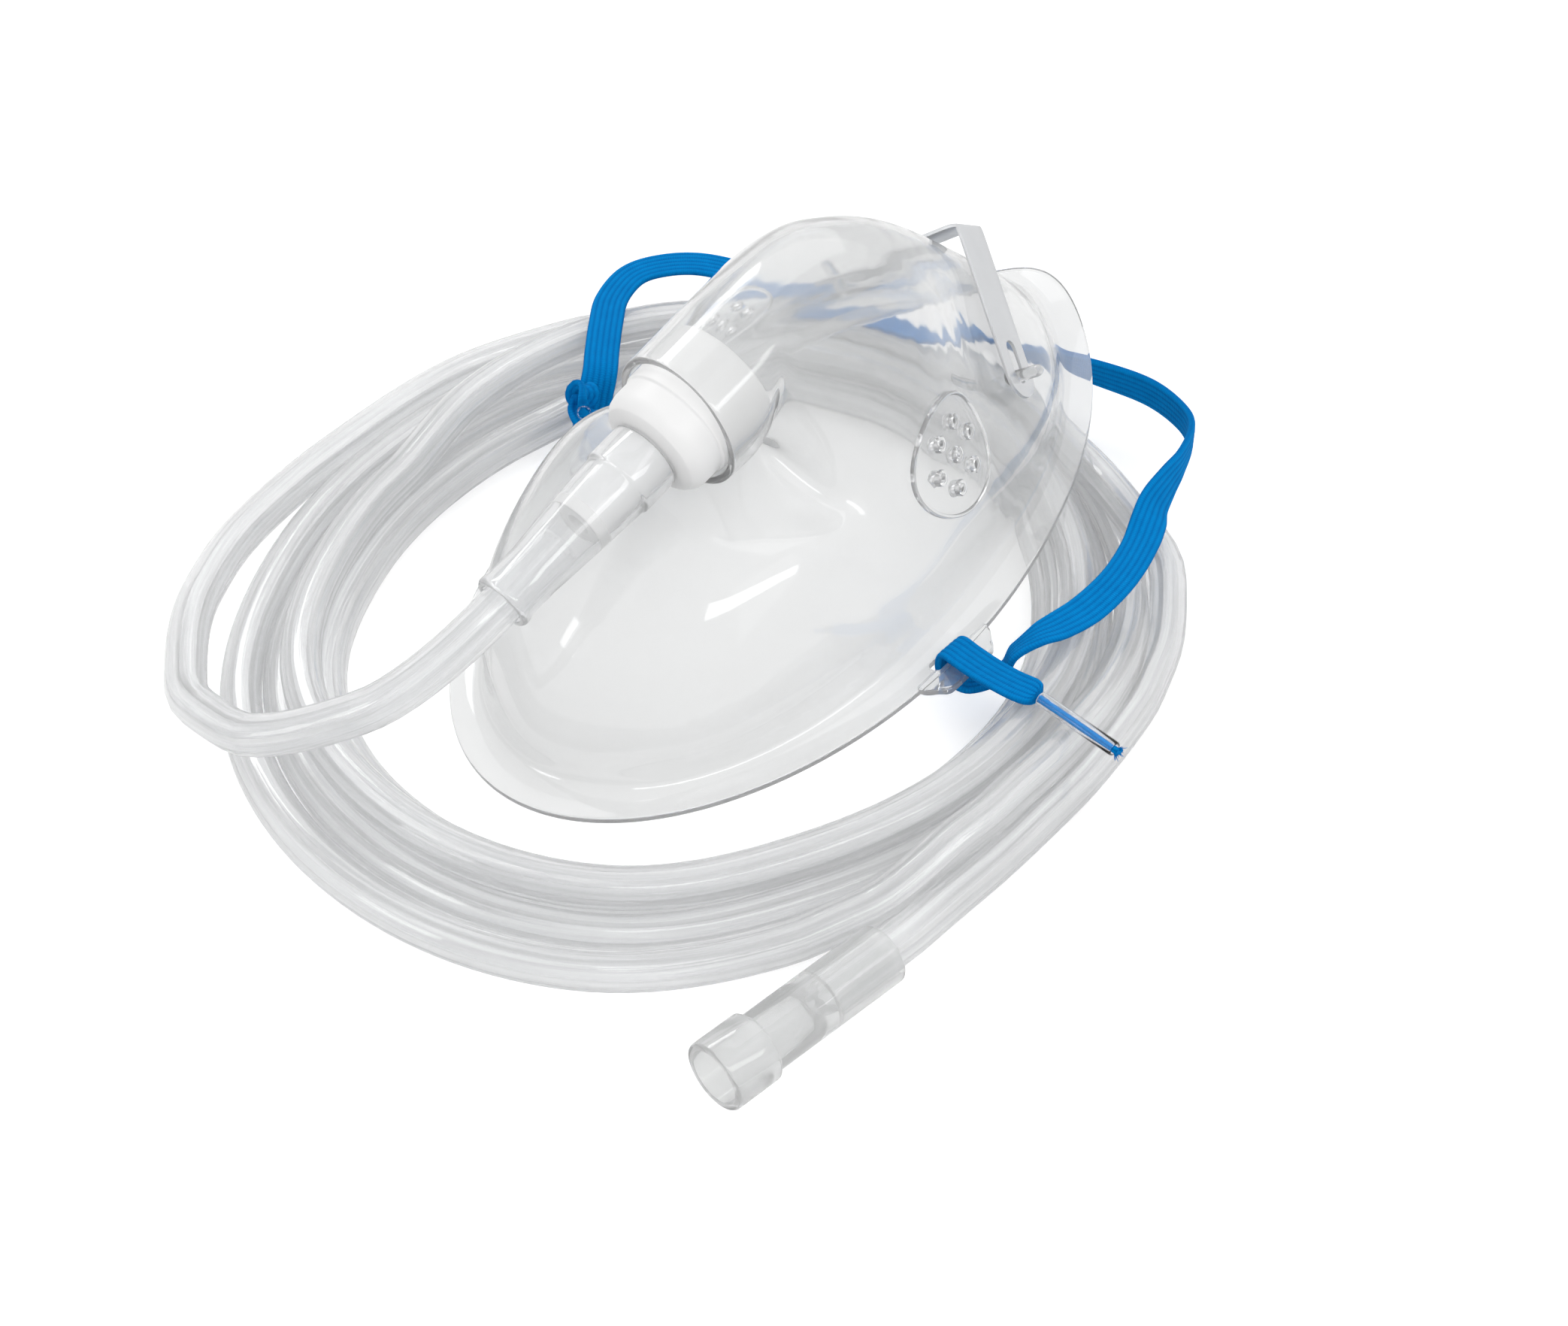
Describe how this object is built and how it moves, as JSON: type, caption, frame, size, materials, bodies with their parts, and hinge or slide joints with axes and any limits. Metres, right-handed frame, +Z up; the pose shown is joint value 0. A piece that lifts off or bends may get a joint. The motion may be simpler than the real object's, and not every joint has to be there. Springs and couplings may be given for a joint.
{
  "type": "oxygen face mask",
  "caption": "Clear soft oxygen face mask with a bendable nose clip, a white inlet connector, an elastic head strap and a coiled supply tube that ends in a clear push-on connector.",
  "frame": {"origin": "middle of the mask's footprint, at floor level", "axes": "+Z up, +Y from the chin towards the nose, +X towards the side of the supply tube's free end; the mask's middle plane is X = 0"},
  "size_m": [0.159, 0.1772, 0.0703],
  "materials": {
    "clear_pvc": "gloss",
    "tube_pvc": "gloss",
    "white_plastic": "satin",
    "clip_metal": "satin",
    "blue_elastic": "matte",
    "clear_tip": "gloss"
  },
  "bodies": {
    "root": {"mask_shell": "clear_pvc", "nose_clip": "clip_metal", "inlet_connector": "white_plastic", "tube_cuff": "clear_pvc", "tube_lead": "tube_pvc", "tube_coil": "tube_pvc", "tube_tail": "tube_pvc", "supply_connector": "clear_pvc", "head_strap": "blue_elastic", "strap_tip_near": "clear_tip", "strap_tip_far": "clear_tip"}
  },
  "joints": []
}
